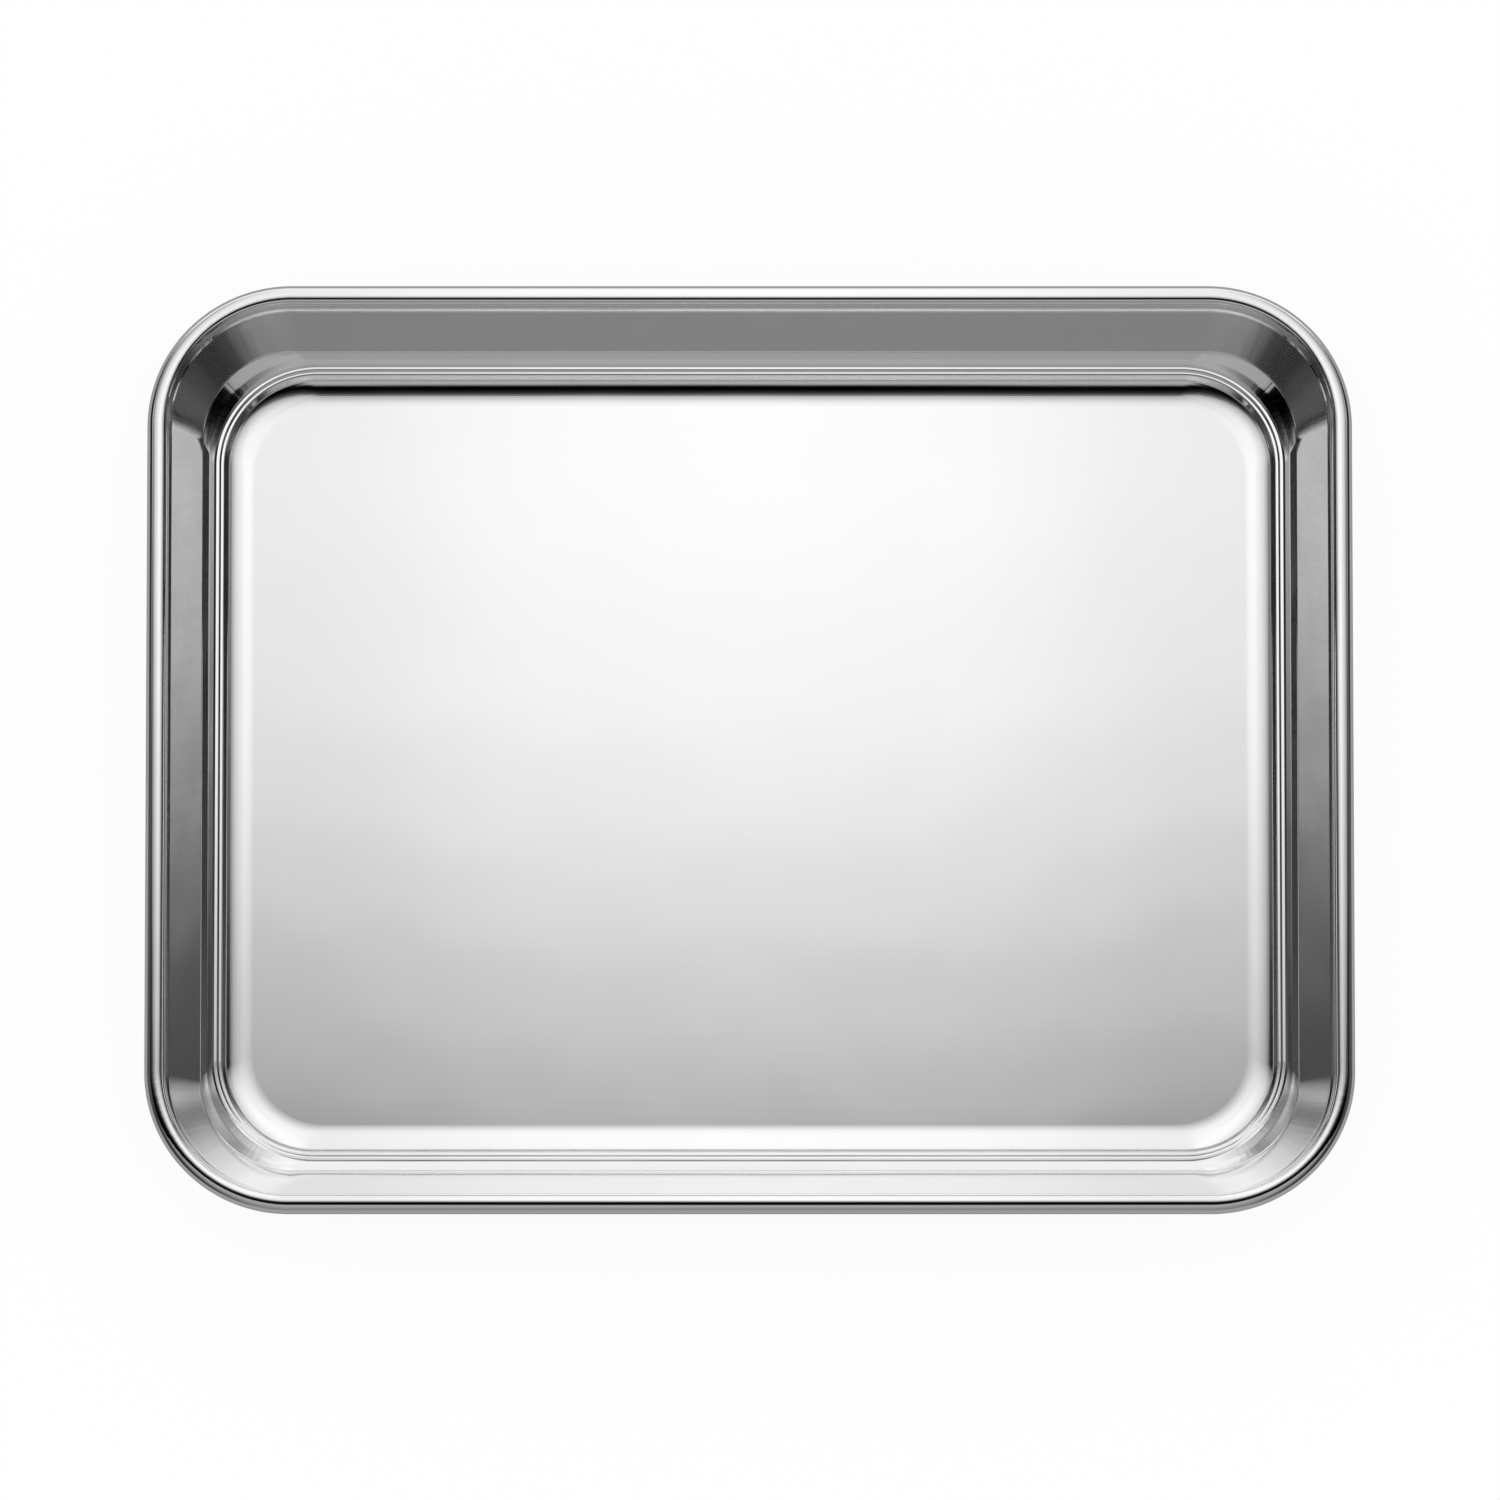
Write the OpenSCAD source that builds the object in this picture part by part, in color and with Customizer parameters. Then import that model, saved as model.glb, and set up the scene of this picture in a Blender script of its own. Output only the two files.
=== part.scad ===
// Sheet pan with a rolled, wire-filled rim and a stepped wall.
// Millimetres. The origin is at the middle of the underside of the floor, +Z up, +X along the pan.

/* [Pan] */
// Overall length, over the rim
pan_length = 315; // [220:1:460]
// Overall width, over the rim
pan_width = 247; // [160:1:340]
// Overall height, from the underside of the floor to the top of the rim
pan_height = 25.4; // [21:0.1:31]
// Corner radius over the rim, seen from above
corner_radius = 37.6; // [32:0.1:60]
// Thickness of the steel sheet
sheet = 0.6; // [0.4:0.05:1]

/* [Rim] */
// Diameter of the wire inside the rolled rim
wire_diameter = 4; // [3:0.1:5]
// Clearance all round the wire, inside the roll
wire_gap = 0.1; // [0.05:0.01:0.2]
// Gap between the two ends of the wire, which meet at the middle of the back side
wire_end_gap = 0.8; // [0.3:0.1:3]
// Angle through which the sheet is rolled over the wire
roll_angle = 312; // [275:1:316]
// Drop of the upright neck below the middle of the wire, down to the collar
neck_drop = 1.3; // [0.9:0.05:2.5]
// Inside radius of the bend between the neck and the collar
neck_bend = 1.2; // [0.4:0.1:2]

/* [Wall] */
// Width of the collar between the neck and the wall
collar_width = 0.8; // [0.4:0.1:1.5]
// Slope of the collar, in degrees from level
collar_slope = 51; // [44:1:56]
// Radius of the bend between the collar and the wall
collar_bend = 6; // [1:0.5:8]
// Slope of the wall, in degrees from level
wall_slope = 58; // [50:1:70]
// Inside radius of the bend at the foot of the wall
wall_bend = 1.5; // [0.3:0.1:3]
// Width of the wall's foot
foot_width = 1.7; // [0.8:0.1:2.5]
// Slope of the wall's foot, in degrees from level
foot_slope = 36; // [34:0.5:42]
// Inside radius of the bend between the foot and the shoulder
foot_bend = 8; // [2:0.5:12]
// Width of the shoulder
shoulder_width = 1.2; // [0.8:0.1:3]
// Slope of the shoulder, in degrees from level
shoulder_slope = 32.5; // [28:0.5:33.5]

/* [Ledges] */
// Number of ledges, each one below a narrow lip
ledge_count = 2; // [1:1:3]
// Width of each lip
lip_width = 0.6; // [0.4:0.05:1]
// Slope of each lip, in degrees from level
lip_slope = 38; // [35:1:45]
// Inside radius of the bends above and below each lip
lip_bend = 0.2; // [0.1:0.05:0.4]
// Width of each ledge
ledge_width = 0.65; // [0.5:0.05:1.2]
// Slope of each ledge, in degrees from level
ledge_slope = 6; // [2:1:12]
// Height of the innermost ledge's edge above the top of the floor
ledge_height = 3.9; // [3.4:0.1:6]
// Inside radius of the bend over that edge
ledge_bend = 0.2; // [0.1:0.05:0.6]

/* [Floor] */
// Slope of the step below the ledges, in degrees from level
step_slope = 54; // [48:1:75]
// Inside radius of the bend at the foot of the step
step_bend = 1.5; // [0.3:0.1:3]
// Width of the floor's rising edge
edge_width = 3.8; // [3:0.1:4.8]
// Slope of the floor's rising edge where it meets the step, in degrees from level
edge_slope = 31; // [15:1:34]
// Radius of the bend between the flat floor and its rising edge
edge_bend = 12.5; // [8:0.5:22]

/* [Hidden] */
$fn = 96;

// Angle that one flat of a bend turns through
bend_flat_angle = 6;
// Largest share of a straight run that the bends at its two ends may take up
bend_reach_share = 0.96;

// The roll, which lies with its middle at the height of the wire
roll_diameter = wire_diameter + 2 * wire_gap + 2 * sheet;
roll_radius = roll_diameter / 2;
roll_height = pan_height - roll_radius;
// Middle of the wire, measured from the corner's axis
roll_reach = corner_radius - roll_radius;

// Axes of the corners
corner_x = pan_length / 2 - corner_radius;
corner_y = pan_width / 2 - corner_radius;

// The sheet's upper face runs inwards from the roll through these points, each one
// [distance in from the rim's outer edge, height, inside radius of its bend].
neck_foot = roll_height - neck_drop;
collar_in = roll_diameter + collar_width;
collar_foot = neck_foot - collar_width * tan(collar_slope);
ledge_edge = sheet + ledge_height;
lip_fall = lip_width * tan(lip_slope);
tread_width = lip_width + ledge_width;
tread_fall = lip_fall + ledge_width * tan(ledge_slope);
lip_top = ledge_edge + ledge_count * tread_fall;
shoulder_top = lip_top + shoulder_width * tan(shoulder_slope);
wall_foot = shoulder_top + foot_width * tan(foot_slope);
step_foot = sheet + edge_width * tan(edge_slope);
wall_in = collar_in + (collar_foot - wall_foot) / tan(wall_slope);
shoulder_in = wall_in + foot_width;
lip_in = shoulder_in + shoulder_width;
ledge_in = lip_in + ledge_count * tread_width;
step_in = ledge_in + (ledge_edge - step_foot) / tan(step_slope);
run = [
    [roll_diameter, roll_height, 0],
    [roll_diameter, neck_foot, neck_bend],
    [collar_in, collar_foot, collar_bend],
    [wall_in, wall_foot, wall_bend],
    [shoulder_in, shoulder_top, foot_bend],
    for (i = [0:ledge_count - 1]) each [
        [lip_in + i * tread_width, lip_top - i * tread_fall, lip_bend],
        [lip_in + i * tread_width + lip_width, lip_top - i * tread_fall - lip_fall, lip_bend]
    ],
    [ledge_in, ledge_edge, ledge_bend],
    [step_in, step_foot, step_bend],
    [step_in + edge_width, sheet, edge_bend],
    [corner_radius, sheet, 0]
];
last = len(run) - 1;

// Length of the straight run that leaves point i, and how steeply it falls
function run_length(i) = norm([run[i + 1][0] - run[i][0], run[i + 1][1] - run[i][1]]);
function fall(i) = atan2(run[i][1] - run[i + 1][1], run[i + 1][0] - run[i][0]);

// Turn of the bend at point i: positive where the upper face is hollow, negative where it is crowned
function turn(i) = fall(i - 1) - fall(i);
// Radius of the upper face there, and how far the bend reaches along the runs beside it
function face_radius(i) = run[i][2] + (turn(i) > 0 ? 0 : sheet);
function wanted_reach(i) = i == 0 || i == last ? 0 : face_radius(i) * tan(abs(turn(i)) / 2);
function reach_share(i) =
    min(1, bend_reach_share * run_length(i) / (wanted_reach(i) + wanted_reach(i + 1)));
function reach(i) = wanted_reach(i) * min(reach_share(i - 1), reach_share(i));

// Upward normal of a run that falls at angle a
function normal(a) = [sin(a), cos(a)];

// Points of the bend at point i on the upper face, each [place, fall of the face there]
function bend_points(i) =
    let(
        side = sign(turn(i)),
        r = reach(i) / tan(abs(turn(i)) / 2),
        start = [run[i][0], run[i][1]] - reach(i) * [cos(fall(i - 1)), -sin(fall(i - 1))],
        middle = start + side * r * normal(fall(i - 1)),
        steps = ceil(abs(turn(i)) / bend_flat_angle)
    )
    [for (k = [0:steps]) let(a = fall(i - 1) - turn(i) * k / steps)
        [middle - side * r * normal(a), a]];

upper_face = concat(
    [[[run[0][0], run[0][1]], fall(0)]],
    [for (i = [1:last - 1]) each bend_points(i)],
    [[[run[last][0], run[last][1]], fall(last - 1)]]
);

// Sheet from the roll down to the corner's axis, drawn with the axis at x = 0
module wall_section() {
    top = [for (p = upper_face) p[0]];
    underside = [for (p = upper_face) p[0] - sheet * normal(p[1])];
    outline = concat(top, [for (i = [len(underside) - 1:-1:0]) underside[i]]);
    polygon([for (p = outline) [corner_radius - p[0], p[1]]]);
}

// Sheet rolled outwards over the wire, open below on the side of the wall
module roll_section() {
    opening = 2 * roll_diameter;
    open_angle = 360 - roll_angle;
    translate([roll_reach, roll_height])
        difference() {
            circle(r = roll_radius);
            circle(r = roll_radius - sheet);
            polygon([[0, 0], [-opening, 0], [-opening * cos(open_angle), -opening * sin(open_angle)]]);
        }
}

module shell_section() {
    union() {
        wall_section();
        roll_section();
    }
}

module wire_section() {
    translate([roll_reach, roll_height])
        circle(d = wire_diameter);
}

// Carries the section given as its child round the four corners and along the four sides
module around_pan() {
    for (k = [0:3]) {
        across = k % 2 == 0 ? corner_x : corner_y;
        along = k % 2 == 0 ? corner_y : corner_x;
        rotate([0, 0, 90 * k]) {
            translate([across, along, 0])
                rotate_extrude(angle = 90)
                    children();
            translate([across, along, 0])
                rotate([90, 0, 0])
                    linear_extrude(height = 2 * along)
                        children();
        }
    }
}

module pan_shell() {
    color("silver")
        union() {
            around_pan()
                shell_section();
            translate([-corner_x, -corner_y, 0])
                cube([2 * corner_x, 2 * corner_y, sheet]);
        }
}

module rim_wire() {
    color("dimgray")
        difference() {
            around_pan()
                wire_section();
            translate([-wire_end_gap / 2, corner_y, roll_height - wire_diameter])
                cube([wire_end_gap, corner_radius, 2 * wire_diameter]);
        }
}

pan_shell();
rim_wire();
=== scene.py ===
import math

import bpy
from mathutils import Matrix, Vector


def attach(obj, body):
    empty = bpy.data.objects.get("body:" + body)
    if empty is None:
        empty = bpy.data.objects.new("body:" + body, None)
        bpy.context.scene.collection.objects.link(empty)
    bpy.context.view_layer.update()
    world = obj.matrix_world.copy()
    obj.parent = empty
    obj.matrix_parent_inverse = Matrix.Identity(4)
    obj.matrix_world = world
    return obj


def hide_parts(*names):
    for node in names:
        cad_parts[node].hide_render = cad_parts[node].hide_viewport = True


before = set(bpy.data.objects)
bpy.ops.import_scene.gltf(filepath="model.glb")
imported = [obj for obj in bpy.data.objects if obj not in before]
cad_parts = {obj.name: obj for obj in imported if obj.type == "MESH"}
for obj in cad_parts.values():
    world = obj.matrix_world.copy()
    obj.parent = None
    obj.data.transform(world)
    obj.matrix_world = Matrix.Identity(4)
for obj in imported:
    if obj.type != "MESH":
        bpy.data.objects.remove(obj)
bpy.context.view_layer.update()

MM = 0.001

# Pan: the same sizes as in the CAD source, in millimetres and degrees
PAN_LENGTH = 315
PAN_WIDTH = 247
PAN_HEIGHT = 25.4
CORNER_RADIUS = 37.6
SHEET = 0.6
WIRE_DIAMETER = 4
WIRE_GAP = 0.1
ROLL_ANGLE = 312
NECK_DROP = 1.3
NECK_BEND = 1.2
COLLAR_WIDTH = 0.8
COLLAR_SLOPE = 51
COLLAR_BEND = 6
WALL_SLOPE = 58
WALL_BEND = 1.5
FOOT_WIDTH = 1.7
FOOT_SLOPE = 36
FOOT_BEND = 8
SHOULDER_WIDTH = 1.2
SHOULDER_SLOPE = 32.5
LIP_WIDTH = 0.6
LIP_SLOPE = 38
LIP_BEND = 0.2
LEDGE_COUNT = 2
LEDGE_HEIGHT = 3.9
LEDGE_WIDTH = 0.65
LEDGE_SLOPE = 6
LEDGE_BEND = 0.2
STEP_SLOPE = 54
STEP_BEND = 1.5
EDGE_WIDTH = 3.8
EDGE_SLOPE = 31
EDGE_BEND = 12.5

# The inner corners are drawn fuller than the rim's: [(distance in from the rim, extra radius, lift)]
CORNER_DRAW = [
    (6.5, 0, 0), (14.24, 0.5, 0.9), (17.1, 6.5, -0.5), (19.64, 6.5, -0.5),
    (22, 6.5, -0.2), (25, 7.75, 0), (28, 9, 0),
]
DRAW_END, FLOOR_SPREAD, _ = CORNER_DRAW[-1]
# Distance over which the draw's slope is taken, and how gently its lift starts
DRAW_REACH = 0.3
SOFT_START = 0.05
DIAGONAL = math.sqrt(2) - 1
LEAST_RADIUS = 1

# Derived sizes
ROLL_DIAMETER = WIRE_DIAMETER + 2 * WIRE_GAP + 2 * SHEET
ROLL_RADIUS = ROLL_DIAMETER / 2
ROLL_HEIGHT = PAN_HEIGHT - ROLL_RADIUS
CORNER_X = PAN_LENGTH / 2 - CORNER_RADIUS
CORNER_Y = PAN_WIDTH / 2 - CORNER_RADIUS
BEND_REACH_SHARE = 0.96

# The four corners, anticlockwise from the one at +X and +Y
CORNER_SIGNS = ((1, 1), (-1, 1), (-1, -1), (1, -1))

# Fineness of the mesh
BEND_FLAT = math.radians(2.5)
RUN_STEP = 0.5
ROLL_FLAT = math.radians(4)
CORNER_STEPS = 64
LENGTH_STEPS = 24
WIDTH_STEPS = 16
SAME_POINT = 1e-9
VERTEX_STEPS_PER_METRE = 1e7

# Photograph's camera: the image is square, and its sizes in pixels are turned into millimetres
IMAGE_PIXELS = 1500
PIXELS_PER_MM = 3.834
DISTANCE_PIXELS = 24507
CAMERA_TILT = math.radians(11.63)
CAMERA_DISTANCE = DISTANCE_PIXELS / PIXELS_PER_MM * MM
SENSOR_WIDTH = 36
AIM_RIGHT = 0.076 * MM
AIM_UP = -0.41 * MM
CLIP_START = 0.1
CLIP_END = 100

# Steel's finish: features per metre, depths in metres, and shares
RIPPLE_SCALE = 26
RIPPLE_DETAIL = 1
RIPPLE_DEPTH = 0.00018
GRAIN_SCALE = 700
GRAIN_DETAIL = 2
GRAIN_DEPTH = 0.000002
GRAIN_STRETCH = (0.03, 1, 1)
DRAW_LINES = 16
DRAW_LINE_DETAIL = 2
DRAW_LINE_DEPTH = 0.00004
CLOUD_SCALE = 60
CLOUD_DETAIL = 3
CLOUD_WEAR_SHARE = 0.6
GRAIN_WEAR_SHARE = 0.4
WEAR_RANGE = (0.3, 0.7)
SHEET_TINTS = ((0.87, 0.87, 0.875), (0.89, 0.89, 0.895))
SHEET_ROUGHNESS = (0.06, 0.1)
WIRE_TINTS = ((0.5, 0.5, 0.51), (0.6, 0.6, 0.61))
WIRE_ROUGHNESS = (0.28, 0.42)
# The underside is rougher by this much, where its normal's height lies in this range
BELOW_ROUGHER = 0.1
BELOW_RANGE = (-0.2, -0.7)
# Where the draw lines fade in: distance past the corner's axes, and height, in metres
MASK_INSIDE = (-2 * MM, 8 * MM)
MASK_HEIGHT = (2 * MM, 5 * MM)

# Studio, in metres. Each card is (middle, half its run, half its rise).
CEILING = 0.385
CEILING_CARD = ((0, 0.5, CEILING), (0.56, 0, 0), (0, 0.7, 0))
FRONT_CARD = ((0, -0.6, CEILING), (0.9, 0, 0), (0, 0.4, 0))
FRONT_WALL = ((0, -1.0, 0.17), (0.9, 0, 0), (0, 0, 0.215))
SIDE_CARD = ((0.9, 0.2, 0.167), (0, 1.2, 0), (0, 0, 0.218))
SIDE_STRIP = ((0.73, 0.5, CEILING), (0.17, 0, 0), (0, 0.7, 0))
# Brightness of each card along one axis, each stop (place, level), and its fade away from the middle
ALONG = 0
ACROSS = 1
CEILING_STOPS = [
    (-0.16, 0.0), (-0.10, 0.02), (-0.05, 0.14), (-0.03, 0.45), (-0.017, 0.56),
    (0.013, 0.69), (0.04, 0.83), (0.07, 0.95), (0.10, 1.05), (0.16, 1.12), (1.2, 1.12),
]
CEILING_FADE = [(0, 1.0), (0.05, 0.98), (0.13, 0.86), (0.26, 0.72), (0.42, 0.48), (0.56, 0.2)]
CEILING_BOW = 0.5
STRIP_STOPS = [
    (-0.2, 0.05), (0.0, 0.1), (0.11, 0.09), (0.13, 0.14), (0.155, 0.22), (0.19, 0.39),
    (0.24, 0.59), (0.275, 0.71), (0.31, 0.6), (0.38, 0.45), (0.6, 0.6), (1.2, 0.9),
]
STRIP_FADE = [(0.56, 0.4), (0.64, 0.6), (0.7, 1.0), (0.77, 1.0), (0.84, 0.12), (0.9, 0.04)]
FRONT_STOPS = [(-2.1, 0.27), (-1.0, 0.27), (-0.6, 0.36), (-0.34, 0.43), (-0.25, 0.0), (-0.2, 0.0)]
FRONT_FADE = [(0, 1), (0.37, 0.9), (0.64, 0.5), (0.9, 0.2)]
FRONT_BOW = 1.3
FRONT_WALL_STOPS = [(-0.9, 0.27), (0.9, 0.27)]
SIDE_STOPS = [
    (-1.0, 0.054), (-0.68, 0.035), (-0.45, 0.037), (-0.28, 0.062), (0.0, 0.1), (0.12, 0.1),
    (0.2, 0.04), (0.25, 0.02), (0.35, 0.02), (0.6, 0.1), (1.3, 1.0),
]
NEW_STOP_PLACE = 0.5
FLOOR_REACH = 6
FLOOR_GAP = 0.0002
FLOOR_GREY = 0.38
FLOOR_SEEN_GREY = 0.97
FLOOR_LIFT = 0.92
CARD_REACH = 1.2
CARD_GREY = 0.38
CARD_TOUCH = 0.0006


def tan(degrees):
    return math.tan(math.radians(degrees))


def run_points():
    """Corners of the upper face from the rim inwards: [distance in from the rim, height, bend radius]."""
    neck_foot = ROLL_HEIGHT - NECK_DROP
    ledge_edge = SHEET + LEDGE_HEIGHT
    tread_width = LIP_WIDTH + LEDGE_WIDTH
    tread_fall = LIP_WIDTH * tan(LIP_SLOPE) + LEDGE_WIDTH * tan(LEDGE_SLOPE)
    lip_top = ledge_edge + LEDGE_COUNT * tread_fall
    shoulder_top = lip_top + SHOULDER_WIDTH * tan(SHOULDER_SLOPE)
    wall_foot = shoulder_top + FOOT_WIDTH * tan(FOOT_SLOPE)
    collar_in = ROLL_DIAMETER + COLLAR_WIDTH
    collar_foot = neck_foot - COLLAR_WIDTH * tan(COLLAR_SLOPE)
    wall_in = collar_in + (collar_foot - wall_foot) / tan(WALL_SLOPE)
    shoulder_in = wall_in + FOOT_WIDTH
    lip_in = shoulder_in + SHOULDER_WIDTH
    ledge_in = lip_in + LEDGE_COUNT * tread_width
    step_foot = SHEET + EDGE_WIDTH * tan(EDGE_SLOPE)
    step_in = ledge_in + (ledge_edge - step_foot) / tan(STEP_SLOPE)
    treads = []
    for i in range(LEDGE_COUNT):
        top_in = lip_in + i * tread_width
        top = lip_top - i * tread_fall
        treads.append((top_in, top, LIP_BEND))
        treads.append((top_in + LIP_WIDTH, top - LIP_WIDTH * tan(LIP_SLOPE), LIP_BEND))
    return [
        (ROLL_DIAMETER, ROLL_HEIGHT, 0),
        (ROLL_DIAMETER, neck_foot, NECK_BEND),
        (collar_in, collar_foot, COLLAR_BEND),
        (wall_in, wall_foot, WALL_BEND),
        (shoulder_in, shoulder_top, FOOT_BEND),
        *treads,
        (ledge_in, ledge_edge, LEDGE_BEND),
        (step_in, step_foot, STEP_BEND),
        (step_in + EDGE_WIDTH, SHEET, EDGE_BEND),
        (CORNER_RADIUS + FLOOR_SPREAD, SHEET, 0),
    ]


def normal(fall):
    """Upward normal, as (inwards, up), of a face that falls inwards at that angle."""
    return Vector((math.sin(fall), math.cos(fall)))


def upper_face():
    """The upper face from the roll to the flat floor, as [(point, fall)] with each bend an arc."""
    run = run_points()
    points = [Vector(p[:2]) for p in run]
    falls = [math.atan2(a.y - b.y, b.x - a.x) for a, b in zip(points, points[1:])]
    turns = [0] + [a - b for a, b in zip(falls, falls[1:])] + [0]
    radii = [p[2] + (SHEET if t < 0 else 0) for p, t in zip(run, turns)]
    wanted = [r * math.tan(abs(t) / 2) for r, t in zip(radii, turns)]
    shares = [
        min(1, BEND_REACH_SHARE * (b - a).length / (wanted[i] + wanted[i + 1]))
        for i, (a, b) in enumerate(zip(points, points[1:]))
    ]
    face = [(points[0], falls[0])]
    for i in range(1, len(run) - 1):
        reach = wanted[i] * min(shares[i - 1], shares[i])
        side = math.copysign(1, turns[i])
        radius = reach / math.tan(abs(turns[i]) / 2)
        along = Vector((math.cos(falls[i - 1]), -math.sin(falls[i - 1])))
        middle = points[i] - reach * along + side * radius * normal(falls[i - 1])
        steps = math.ceil(abs(turns[i]) / BEND_FLAT)
        for k in range(steps + 1):
            fall = falls[i - 1] - turns[i] * k / steps
            face.append((middle - side * radius * normal(fall), fall))
    face.append((points[-1], falls[-1]))
    return divided(face)


def divided(face):
    """The same face with its straight runs cut into short steps, as far in as the draw goes."""
    fine = face[:1]
    for (a, _), (b, fall) in zip(face, face[1:]):
        steps = math.ceil((b - a).length / RUN_STEP) if a.x < DRAW_END else 1
        fine += [(a.lerp(b, k / steps), fall) for k in range(1, steps + 1)]
    return fine


def sheet_section():
    """The sheet's whole outline from the floor's top, over the rim and back to the floor's underside.

    Each entry is (point, normal), and a sharp corner is two entries at one point.
    """
    face = upper_face()
    centre = Vector((ROLL_RADIUS, ROLL_HEIGHT))
    top = [(p, normal(a)) for p, a in reversed(face)]
    steps = math.ceil(math.radians(ROLL_ANGLE) / ROLL_FLAT)
    turns = [math.radians(ROLL_ANGLE) * k / steps for k in range(steps + 1)]
    rays = [Vector((math.cos(t), math.sin(t))) for t in turns]
    outer = [(centre + ROLL_RADIUS * ray, ray) for ray in rays]
    inner = [(centre + (ROLL_RADIUS - SHEET) * ray, -ray) for ray in reversed(rays)]
    end_normal = Vector((-rays[-1].y, rays[-1].x))
    end = [(outer[-1][0], end_normal), (inner[0][0], end_normal)]
    underside = [(p - SHEET * normal(a), -normal(a)) for p, a in face]
    return top + outer[1:] + end + inner[:-1] + underside


def stations():
    """Places round the pan, anticlockwise from the +X side: (share of the way to each axis, outward)."""
    places = []
    for k, signs in enumerate(CORNER_SIGNS):
        corner = Vector(signs)
        following = Vector(CORNER_SIGNS[(k + 1) % len(CORNER_SIGNS)])
        for i in range(CORNER_STEPS + 1):
            angle = math.radians(90 * k + 90 * i / CORNER_STEPS)
            places.append((corner, Vector((math.cos(angle), math.sin(angle)))))
        steps = LENGTH_STEPS if k % 2 == 0 else WIDTH_STEPS
        outward = places[-1][1]
        for i in range(1, steps):
            places.append((corner.lerp(following, i / steps), outward))
    return places


def draw_at(inset):
    """The corner's extra radius and lift at that distance in from the rim."""
    for (a, *low), (b, *high) in zip(CORNER_DRAW, CORNER_DRAW[1:]):
        if inset <= b:
            share = max(0, inset - a) / (b - a)
            return Vector((low[0] + (high[0] - low[0]) * share, low[1] + (high[1] - low[1]) * share))
    return Vector(CORNER_DRAW[-1][1:])


def corner_reach(outward):
    """How far the place is into a corner: 0 along the sides and 1 at a corner's middle."""
    return max(0, abs(outward.x) + abs(outward.y) - 1) / DIAGONAL


def corner_share(outward):
    """The share of the draw's lift there, which grows softly from 0 to 1 as the corner is reached."""
    reach = corner_reach(outward)
    return (1 + SOFT_START) * reach * reach / (reach + SOFT_START)


def point_at(place, section_point):
    """The section's point at a place round the pan, in metres."""
    share, outward = place
    extra, lift = draw_at(section_point.x)
    axis = Vector((share.x * (CORNER_X - extra), share.y * (CORNER_Y - extra)))
    flat = axis + outward * (CORNER_RADIUS - section_point.x + extra)
    return Vector((flat.x, flat.y, section_point.y + lift * corner_share(outward))) * MM


def normal_at(place, section_point, section_normal):
    """The section's normal there, turned as the corner's draw turns the face."""
    outward = place[1]
    along = Vector((-outward.y, outward.x))
    extra, lift = draw_at(section_point.x)
    ahead = draw_at(section_point.x + DRAW_REACH)
    behind = draw_at(section_point.x - DRAW_REACH)
    extra_rate, lift_rate = (ahead - behind) / (2 * DRAW_REACH)
    radius = max(CORNER_RADIUS - section_point.x + extra, LEAST_RADIUS)
    reach = corner_reach(outward)
    turning = math.copysign(1, outward.x) * along.x + math.copysign(1, outward.y) * along.y
    growth = (1 + SOFT_START) * reach * (reach + 2 * SOFT_START) / (reach + SOFT_START) ** 2
    lift_turn = lift * growth * turning / DIAGONAL
    stretch = 1 + extra_rate * reach * DIAGONAL
    inwards, up = section_normal
    out = radius * (lift_rate * corner_share(outward) * up - inwards)
    out += lift_turn * extra_rate * turning * up
    sideways = -lift_turn * stretch * up
    flat = outward * out + along * sideways
    return Vector((flat.x, flat.y, radius * stretch * up)).normalized()


class MeshDraft:
    """Vertices, faces and a normal for every face corner, gathered before the mesh is made."""

    def __init__(self):
        self.points = []
        self.faces = []
        self.normals = []
        self.index = {}

    def vertex(self, point):
        key = tuple(round(c * VERTEX_STEPS_PER_METRE) for c in point)
        if key not in self.index:
            self.index[key] = len(self.points)
            self.points.append(point)
        return self.index[key]

    def face(self, corners):
        """corners is a list of (point, normal), and corners that fall on one point are dropped."""
        kept = []
        for point, direction in corners:
            number = self.vertex(point)
            if number not in [k[0] for k in kept]:
                kept.append((number, direction))
        if len(kept) > 2:
            self.faces.append([k[0] for k in kept])
            self.normals.extend(k[1] for k in kept)

    def build(self, name):
        mesh = bpy.data.meshes.new(name)
        mesh.from_pydata(self.points, [], self.faces)
        mesh.shade_smooth()
        mesh.normals_split_custom_set(self.normals)
        mesh.update()
        piece = bpy.data.objects.new(name, mesh)
        bpy.context.scene.collection.objects.link(piece)
        return piece


def pan_shell():
    """The pressed sheet, swept round the pan as one closed skin with exact normals."""
    section = sheet_section()
    places = stations()
    draft = MeshDraft()
    for place, following in zip(places, places[1:] + places[:1]):
        for (p, n), (q, m) in zip(section, section[1:]):
            if (p - q).length > SAME_POINT:
                draft.face([
                    (point_at(place, q), normal_at(place, q, m)),
                    (point_at(following, q), normal_at(following, q, m)),
                    (point_at(following, p), normal_at(following, p, n)),
                    (point_at(place, p), normal_at(place, p, n)),
                ])
    for height, up in ((SHEET, 1), (0, -1)):
        floor_middle(draft, height, up)
    return draft.build("pan_shell_steel")


def floor_middle(draft, height, up):
    """The flat rectangle between the four corner axes."""
    direction = Vector((0, 0, up))
    half_length = CORNER_X - FLOOR_SPREAD
    half_width = CORNER_Y - FLOOR_SPREAD
    columns = [half_length * (2 * i / LENGTH_STEPS - 1) for i in range(LENGTH_STEPS + 1)]
    rows = [half_width * (2 * i / WIDTH_STEPS - 1) for i in range(WIDTH_STEPS + 1)]
    for a, b in zip(columns, columns[1:]):
        for c, d in zip(rows, rows[1:]):
            corners = [(a, c), (b, c), (b, d), (a, d)]
            if up < 0:
                corners.reverse()
            draft.face([(Vector((x, y, height)) * MM, direction) for x, y in corners])


def grey(level):
    return (level, level, level, 1)


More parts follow.
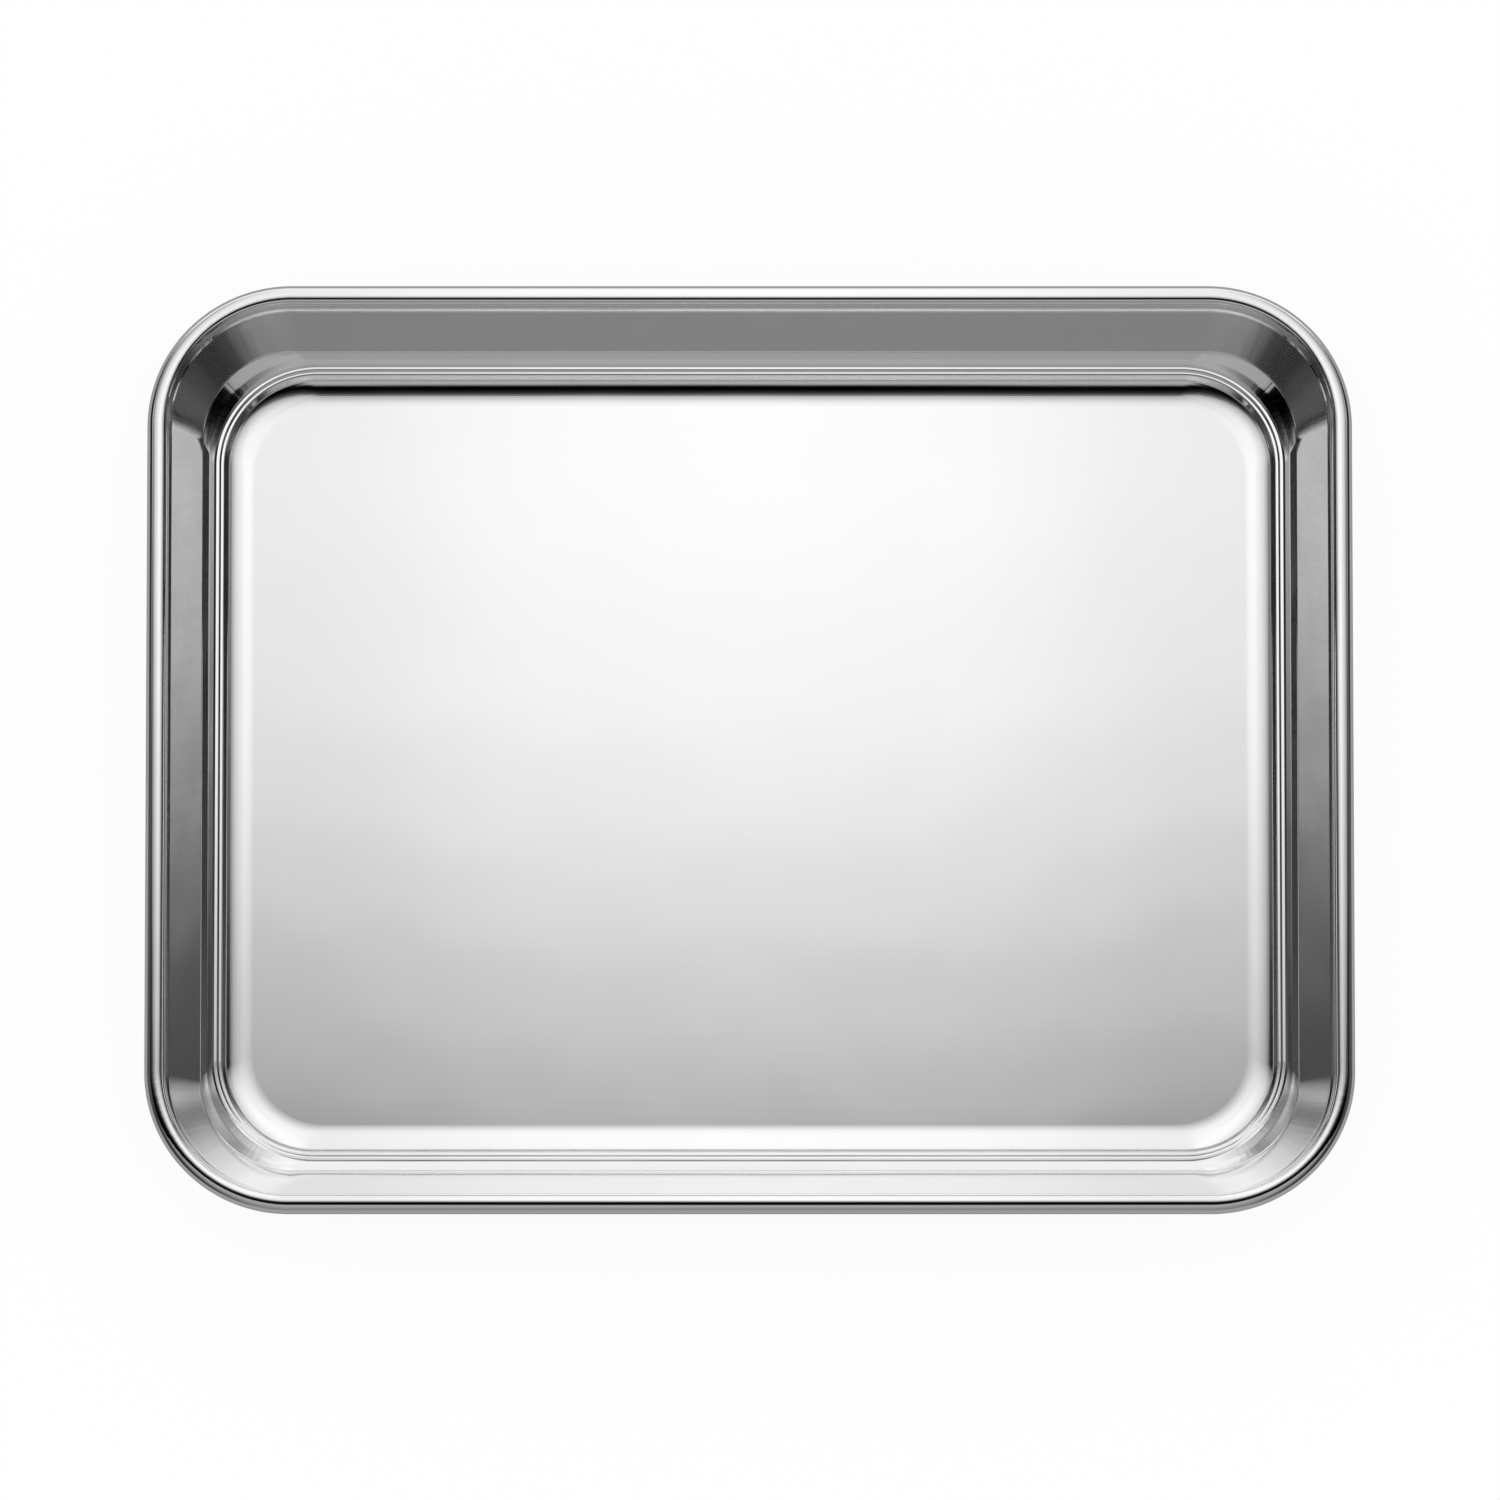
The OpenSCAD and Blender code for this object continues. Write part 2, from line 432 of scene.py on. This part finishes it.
def add_math(tree, operation, *values):
    """A Math node, each of whose inputs is a number or another node's output."""
    node = tree.nodes.new("ShaderNodeMath")
    node.operation = operation
    for socket, value in zip(node.inputs, values):
        if isinstance(value, (int, float)):
            socket.default_value = value
        else:
            tree.links.new(value, socket)
    return node.outputs[0]


def noise(tree, scale, detail, stretch=(1, 1, 1)):
    """Noise over the piece, drawn out along the axes whose stretch is small."""
    place = tree.nodes.new("ShaderNodeTexCoord")
    mapping = tree.nodes.new("ShaderNodeMapping")
    mapping.inputs["Scale"].default_value = stretch
    tree.links.new(place.outputs["Object"], mapping.inputs["Vector"])
    texture = tree.nodes.new("ShaderNodeTexNoise")
    texture.inputs["Scale"].default_value = scale
    texture.inputs["Detail"].default_value = detail
    tree.links.new(mapping.outputs[0], texture.inputs["Vector"])
    return texture.outputs[0]


def bump(tree, height, depth, normal_socket=None):
    """A surface raised by the height, over the surface that the normal socket gives, if any."""
    node = tree.nodes.new("ShaderNodeBump")
    node.inputs["Strength"].default_value = 1
    node.inputs["Distance"].default_value = depth
    tree.links.new(height, node.inputs["Height"])
    if normal_socket:
        tree.links.new(normal_socket, node.inputs["Normal"])
    return node.outputs[0]


def stretched(tree, value, low, high, new_low, new_high):
    """The value's range low to high mapped smoothly on to another range, and held at its ends."""
    node = tree.nodes.new("ShaderNodeMapRange")
    node.interpolation_type = "SMOOTHSTEP"
    for socket, number in zip(("From Min", "From Max", "To Min", "To Max"), (low, high, new_low, new_high)):
        node.inputs[socket].default_value = number
    tree.links.new(value, node.inputs["Value"])
    return node.outputs[0]


def steel(name, tints, roughness):
    """A metal with clouded colour, fine grain along one way, and roughness between two values."""
    material = bpy.data.materials.new(name)
    material.use_nodes = True
    tree = material.node_tree
    shader = tree.nodes["Principled BSDF"]
    shader.inputs["Metallic"].default_value = 1
    cloud = noise(tree, CLOUD_SCALE, CLOUD_DETAIL)
    tint = tree.nodes.new("ShaderNodeMix")
    tint.data_type = "RGBA"
    tint.inputs["A"].default_value = (*tints[0], 1)
    tint.inputs["B"].default_value = (*tints[1], 1)
    tree.links.new(cloud, tint.inputs["Factor"])
    tree.links.new(tint.outputs["Result"], shader.inputs["Base Color"])
    grain = noise(tree, GRAIN_SCALE, GRAIN_DETAIL, GRAIN_STRETCH)
    grain_wear = add_math(tree, "MULTIPLY", grain, GRAIN_WEAR_SHARE)
    wear = add_math(tree, "MULTIPLY_ADD", cloud, CLOUD_WEAR_SHARE, grain_wear)
    tree.links.new(stretched(tree, wear, *WEAR_RANGE, *roughness), shader.inputs["Roughness"])
    tree.links.new(bump(tree, grain, GRAIN_DEPTH), shader.inputs["Normal"])
    return material


def polished_steel():
    """Mirror-bright sheet: faint ripples, lines drawn down the corners, and a duller underside."""
    material = steel("polished_steel", SHEET_TINTS, SHEET_ROUGHNESS)
    tree = material.node_tree
    shader = tree.nodes["Principled BSDF"]
    grain = shader.inputs["Normal"].links[0].from_socket
    ripples = bump(tree, noise(tree, RIPPLE_SCALE, RIPPLE_DETAIL), RIPPLE_DEPTH, grain)
    lines = add_math(tree, "MULTIPLY", draw_lines(tree), corner_mask(tree))
    tree.links.new(bump(tree, lines, DRAW_LINE_DEPTH, ripples), shader.inputs["Normal"])
    geometry = tree.nodes.new("ShaderNodeNewGeometry")
    facing = tree.nodes.new("ShaderNodeSeparateXYZ")
    tree.links.new(geometry.outputs["Normal"], facing.inputs[0])
    below = stretched(tree, facing.outputs["Z"], *BELOW_RANGE, 0, 1)
    plain = shader.inputs["Roughness"].links[0].from_socket
    rougher = add_math(tree, "MULTIPLY_ADD", below, BELOW_ROUGHER, plain)
    tree.links.new(rougher, shader.inputs["Roughness"])
    return material


def corner_place(tree):
    """How far past a corner's axis a point lies, along and across the pan, and its height."""
    place = tree.nodes.new("ShaderNodeTexCoord")
    split = tree.nodes.new("ShaderNodeSeparateXYZ")
    tree.links.new(place.outputs["Object"], split.inputs[0])
    along = add_math(tree, "SUBTRACT", add_math(tree, "ABSOLUTE", split.outputs["X"]), CORNER_X * MM)
    across = add_math(tree, "SUBTRACT", add_math(tree, "ABSOLUTE", split.outputs["Y"]), CORNER_Y * MM)
    return along, across, split.outputs["Z"]


def draw_lines(tree):
    """Fine lines that run down the corners, spaced by the angle round the corner's axis."""
    along, across, height = corner_place(tree)
    angle = add_math(tree, "ARCTAN2", across, along)
    join = tree.nodes.new("ShaderNodeCombineXYZ")
    tree.links.new(angle, join.inputs["X"])
    tree.links.new(height, join.inputs["Z"])
    texture = tree.nodes.new("ShaderNodeTexNoise")
    texture.inputs["Scale"].default_value = DRAW_LINES
    texture.inputs["Detail"].default_value = DRAW_LINE_DETAIL
    tree.links.new(join.outputs[0], texture.inputs["Vector"])
    return texture.outputs[0]


def corner_mask(tree):
    """1 on the walls and ledges inside a corner, fading to 0 along the sides and on the floor."""
    along, across, height = corner_place(tree)
    inside = stretched(tree, add_math(tree, "MINIMUM", along, across), *MASK_INSIDE, 0, 1)
    raised = stretched(tree, height, *MASK_HEIGHT, 0, 1)
    return add_math(tree, "MULTIPLY", inside, raised)


def stage_sheet(name, corners, material):
    """A flat four-cornered piece of the stage."""
    mesh = bpy.data.meshes.new(name)
    mesh.from_pydata(corners, [], [(0, 1, 2, 3)])
    mesh.materials.append(material)
    piece = bpy.data.objects.new(name, mesh)
    bpy.context.scene.collection.objects.link(piece)
    return piece


def level_sheet(name, reach, height, material):
    """A level square of the stage, centred under the pan."""
    corners = [(-reach, -reach), (reach, -reach), (reach, reach), (-reach, reach)]
    return stage_sheet(name, [(x, y, height) for x, y in corners], material)


def show_in_reflections_only(piece):
    piece.visible_camera = False
    piece.visible_diffuse = False
    piece.visible_shadow = False


def card(name, shape, material, side=1):
    """A flat glowing card that only reflections see, mirrored to the left where side is -1."""
    (x, y, z), run, rise = shape
    centre, right, up = Vector((side * x, y, z)), Vector(run), Vector(rise)
    corners = [centre - right - up, centre + right - up, centre + right + up, centre - right + up]
    show_in_reflections_only(stage_sheet(name, corners, material))


def graded(tree, coordinate, stops):
    """A brightness that follows the coordinate through stops, each (place in metres, level)."""
    low, high = stops[0][0], stops[-1][0]
    brightest = max(level for _, level in stops)
    share = tree.nodes.new("ShaderNodeMapRange")
    share.inputs["From Min"].default_value = low
    share.inputs["From Max"].default_value = high
    tree.links.new(coordinate, share.inputs["Value"])
    ramp = tree.nodes.new("ShaderNodeValToRGB")
    ramp.color_ramp.interpolation = "EASE"
    tree.links.new(share.outputs[0], ramp.inputs[0])
    elements = ramp.color_ramp.elements
    while len(elements) < len(stops):
        elements.new(NEW_STOP_PLACE)
    for element, (place, level) in zip(elements, stops):
        element.position = (place - low) / (high - low)
        element.color = grey(level / brightest)
    return add_math(tree, "MULTIPLY", ramp.outputs[0], brightest)


def card_glow(name, axis, stops, bow=0, fade=None):
    """A glow graded along one axis, whose stops curve by the bow, and faded away from the middle."""
    material = bpy.data.materials.new(name)
    material.use_nodes = True
    tree = material.node_tree
    tree.nodes.clear()
    place = tree.nodes.new("ShaderNodeTexCoord")
    split = tree.nodes.new("ShaderNodeSeparateXYZ")
    tree.links.new(place.outputs["Object"], split.inputs[0])
    sideways = split.outputs[ALONG]
    coordinate = split.outputs[axis]
    if bow:
        square = add_math(tree, "MULTIPLY", sideways, sideways)
        coordinate = add_math(tree, "MULTIPLY_ADD", square, -bow, coordinate)
    level = graded(tree, coordinate, stops)
    if fade:
        distance = add_math(tree, "ABSOLUTE", sideways)
        level = add_math(tree, "MULTIPLY", level, graded(tree, distance, fade))
    glow = tree.nodes.new("ShaderNodeEmission")
    tree.links.new(level, glow.inputs["Strength"])
    out = tree.nodes.new("ShaderNodeOutputMaterial")
    tree.links.new(glow.outputs[0], out.inputs["Surface"])
    return material


def mix_shaders(tree, share, first, second):
    """A mix of two shader nodes, whose share is a number or another node's output."""
    mix = tree.nodes.new("ShaderNodeMixShader")
    if isinstance(share, (int, float)):
        mix.inputs[0].default_value = share
    else:
        tree.links.new(share, mix.inputs[0])
    tree.links.new(first.outputs[0], mix.inputs[1])
    tree.links.new(second.outputs[0], mix.inputs[2])
    return mix


def white_world():
    world = bpy.data.worlds.new("white_room")
    world.use_nodes = True
    background = world.node_tree.nodes["Background"]
    background.inputs["Color"].default_value = grey(1)
    background.inputs["Strength"].default_value = 1
    bpy.context.scene.world = world


def grey_card():
    """A matt grey card on the floor, seen only in reflections, where it hides the white floor.

    It gives the roll its dark outline. Hardly any light reaches it close under the pan's base, so
    for rays as short as that it glows in about the grey that it has in the open.
    """
    material = bpy.data.materials.new("matt_grey")
    material.use_nodes = True
    tree = material.node_tree
    paint = tree.nodes["Principled BSDF"]
    paint.inputs["Base Color"].default_value = grey(CARD_GREY)
    paint.inputs["Roughness"].default_value = 1
    paint.inputs["Specular IOR Level"].default_value = 0
    paint.inputs["Emission Color"].default_value = grey(1)
    # Painted light: close under the pan's base, where no light reaches, the card glows as if it were lit.
    rays = tree.nodes.new("ShaderNodeLightPath")
    touching = add_math(tree, "LESS_THAN", rays.outputs["Ray Length"], CARD_TOUCH)
    tree.links.new(add_math(tree, "MULTIPLY", touching, CARD_GREY), paint.inputs["Emission Strength"])
    show_in_reflections_only(level_sheet("grey_card", CARD_REACH, -FLOOR_GAP / 2, material))


def floor():
    """A floor that keeps the pan's shadow, white to the camera and reflections and clear from below."""
    material = bpy.data.materials.new("pale_floor")
    material.use_nodes = True
    tree = material.node_tree
    tree.nodes.clear()
    rays = tree.nodes.new("ShaderNodeLightPath")
    mirrored = add_math(tree, "MAXIMUM", rays.outputs["Is Glossy Ray"], rays.outputs["Is Transmission Ray"])
    seen = add_math(tree, "MAXIMUM", rays.outputs["Is Camera Ray"], mirrored)
    geometry = tree.nodes.new("ShaderNodeNewGeometry")
    paint = tree.nodes.new("ShaderNodeBsdfDiffuse")
    paint.inputs["Color"].default_value = grey(FLOOR_GREY)
    seen_paint = tree.nodes.new("ShaderNodeBsdfDiffuse")
    seen_paint.inputs["Color"].default_value = grey(FLOOR_SEEN_GREY)
    glow = tree.nodes.new("ShaderNodeEmission")
    lifted = mix_shaders(tree, FLOOR_LIFT, seen_paint, glow)
    top = mix_shaders(tree, seen, paint, lifted)
    clear = tree.nodes.new("ShaderNodeBsdfTransparent")
    both = mix_shaders(tree, geometry.outputs["Backfacing"], top, clear)
    out = tree.nodes.new("ShaderNodeOutputMaterial")
    tree.links.new(both.outputs[0], out.inputs["Surface"])
    level_sheet("floor", FLOOR_REACH, -FLOOR_GAP, material)


def studio():
    """A white room with graded cards over and round the pan, a grey card and a pale floor."""
    white_world()
    card("ceiling_card", CEILING_CARD,
         card_glow("ceiling_card", ACROSS, CEILING_STOPS, CEILING_BOW, CEILING_FADE))
    card("front_card", FRONT_CARD, card_glow("front_card", ACROSS, FRONT_STOPS, FRONT_BOW, FRONT_FADE))
    card("front_wall", FRONT_WALL, card_glow("front_wall", ALONG, FRONT_WALL_STOPS, fade=FRONT_FADE))
    for side, name in ((-1, "left"), (1, "right")):
        card("side_card_" + name, SIDE_CARD, card_glow("side_card_" + name, ACROSS, SIDE_STOPS), side)
        card("side_strip_" + name, SIDE_STRIP,
             card_glow("side_strip_" + name, ACROSS, STRIP_STOPS, fade=STRIP_FADE), side)
    grey_card()
    floor()


def camera():
    """The photograph's camera, which looks down at the rim's height from the front."""
    data = bpy.data.cameras.new("photo_camera")
    half_view = IMAGE_PIXELS / 2 / PIXELS_PER_MM * MM
    data.sensor_width = SENSOR_WIDTH
    data.lens = SENSOR_WIDTH / 2 * CAMERA_DISTANCE / half_view
    data.clip_start = CLIP_START
    data.clip_end = CLIP_END
    piece = bpy.data.objects.new("photo_camera", data)
    bpy.context.scene.collection.objects.link(piece)
    back = Vector((0, -math.sin(CAMERA_TILT), math.cos(CAMERA_TILT)))
    up = Vector((0, math.cos(CAMERA_TILT), math.sin(CAMERA_TILT)))
    aim = Vector((AIM_RIGHT, 0, ROLL_HEIGHT * MM)) + up * AIM_UP
    piece.location = aim + back * CAMERA_DISTANCE
    piece.rotation_euler = (CAMERA_TILT, 0, 0)
    bpy.context.scene.camera = piece


camera()
studio()
shell = pan_shell()
shell.data.materials.append(polished_steel())
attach(shell, "root")
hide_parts("pan_shell")
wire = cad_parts["rim_wire"]
wire.data.materials.clear()
wire.data.materials.append(steel("wire_steel", WIRE_TINTS, WIRE_ROUGHNESS))
bpy.context.scene.view_settings.view_transform = "Standard"
